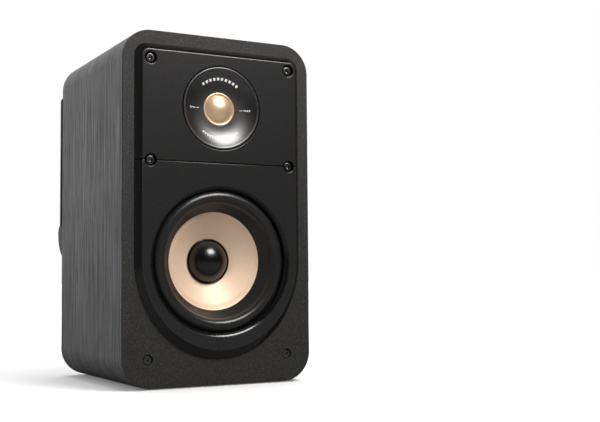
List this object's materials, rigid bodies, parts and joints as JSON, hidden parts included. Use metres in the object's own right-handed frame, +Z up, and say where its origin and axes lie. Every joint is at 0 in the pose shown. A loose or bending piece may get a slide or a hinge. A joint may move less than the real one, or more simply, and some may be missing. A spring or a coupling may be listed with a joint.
{
  "type": "bookshelf speaker",
  "caption": "Two-way bass-reflex bookshelf speaker with wood-grain vinyl cabinet, raised bevelled front plates, gold dome tweeter, gold cone woofer, rear port and binding posts.",
  "frame": {"origin": "on the shelf, under the centre of the whole speaker", "axes": "+X to the right seen from the front, +Y to the back, +Z up"},
  "size_m": [0.172, 0.2006, 0.2954],
  "materials": {
    "vinyl": "black ash grain",
    "mdf": "plain board",
    "facing": "fine leather grain",
    "front_plate": "satin",
    "black_screw": "satin black",
    "rubber": "satin",
    "waveguide": "semi-gloss",
    "gold_metal": "satin gold",
    "gold_dome": "polished gold",
    "dust_cap": "gloss",
    "foam_gasket": "foam",
    "ferrite": "matt",
    "zinc_steel": "zinc plated",
    "painted_steel": "black",
    "copper": "enamelled wire",
    "former": "satin",
    "cloth": "impregnated cotton",
    "wadding": "polyester fibre",
    "board": "printed circuit board",
    "capacitor": "film capacitor",
    "cement": "cement",
    "nylon": "nylon",
    "black_plastic": "fine texture",
    "gold_plate": "gold plated",
    "nut_positive": "gold plated, red ring",
    "nut_negative": "gold plated, black ring",
    "brass": "turned",
    "wire": "insulated wire",
    "terminal_strip": "phenolic"
  },
  "bodies": {
    "cabinet": {"baffle_facing": "facing", "binding_post_negative": "gold_plate", "binding_post_nuts": "brass", "binding_post_positive": "gold_plate", "board_standoffs": "nylon", "bottom_panel": "mdf", "capacitors": "capacitor", "corner_mouldings": "mdf", "crossover_board": "board", "damping_wadding": "wadding", "diffuser_screws": "black_screw", "front_baffle": "mdf", "front_screws": "black_screw", "inductors": "copper", "inner_wires": "wire", "keyhole_plate": "zinc_steel", "lower_front_plate": "front_plate", "port_diffuser": "black_plastic", "port_gasket": "foam_gasket", "port_tube": "black_plastic", "rear_panel": "mdf", "resistor": "cement", "rubber_feet": "rubber", "shelf_brace": "mdf", "side_panel_left": "mdf", "side_panel_right": "mdf", "small_screws": "black_screw", "terminal_cup": "black_plastic", "threaded_insert": "brass", "tinsel_leads": "copper", "top_panel": "mdf", "tweeter_gasket": "foam_gasket", "tweeter_magnet": "ferrite", "tweeter_rear_cup": "black_plastic", "tweeter_surround": "gold_dome", "tweeter_terminals": "terminal_strip", "tweeter_top_plate": "zinc_steel", "tweeter_waveguide": "waveguide", "tweeter_yoke": "zinc_steel", "upper_front_plate": "front_plate", "vinyl_wrap": "vinyl", "woofer_basket": "painted_steel", "woofer_gasket": "foam_gasket", "woofer_magnet": "ferrite", "woofer_pole_yoke": "zinc_steel", "woofer_screws": "black_screw", "woofer_spider": "cloth", "woofer_surround": "rubber", "woofer_terminal_strip": "terminal_strip", "woofer_top_plate": "zinc_steel"},
    "woofer_moving": {"woofer_cone": "gold_metal", "woofer_dust_cap": "dust_cap", "woofer_coil_former": "former", "woofer_voice_coil": "copper"},
    "tweeter_diaphragm": {"tweeter_dome": "gold_dome", "tweeter_voice_coil": "copper"},
    "positive_washer": {"clamp_washer_positive": "gold_plate"},
    "positive_nut": {"thumb_nut_positive": "nut_positive"},
    "negative_washer": {"clamp_washer_negative": "gold_plate"},
    "negative_nut": {"thumb_nut_negative": "nut_negative"}
  },
  "joints": [
    {"name": "woofer_travel", "type": "slide", "parent": "cabinet", "child": "woofer_moving", "axis": [0, -1, 0], "range_m": [-0.004, 0.004], "stiffness_N_per_m": 1000, "deforming": ["woofer_surround", "woofer_spider", "tinsel_leads"]},
    {"name": "tweeter_travel", "type": "slide", "parent": "cabinet", "child": "tweeter_diaphragm", "axis": [0, -1, 0], "range_m": [-0.0004, 0.0004], "stiffness_N_per_m": 2000, "deforming": ["tweeter_surround"]},
    {"name": "positive_nut_travel", "type": "slide", "parent": "cabinet", "child": "positive_washer", "axis": [0, 1, 0], "range_m": [0, 0.005]},
    {"name": "positive_nut_turn", "type": "hinge", "parent": "positive_washer", "child": "positive_nut", "pos_m": [-0.0095, 0.078, 0.062], "axis": [0, 1, 0], "range_deg": [0, 1440]},
    {"name": "negative_nut_travel", "type": "slide", "parent": "cabinet", "child": "negative_washer", "axis": [0, 1, 0], "range_m": [0, 0.005]},
    {"name": "negative_nut_turn", "type": "hinge", "parent": "negative_washer", "child": "negative_nut", "pos_m": [0.0095, 0.078, 0.062], "axis": [0, 1, 0], "range_deg": [0, 1440]}
  ],
  "couplings": [
    {"joint": "positive_nut_turn", "follows": "positive_nut_travel", "rad_per_m": 5026.5},
    {"joint": "negative_nut_turn", "follows": "negative_nut_travel", "rad_per_m": 5026.5}
  ]
}
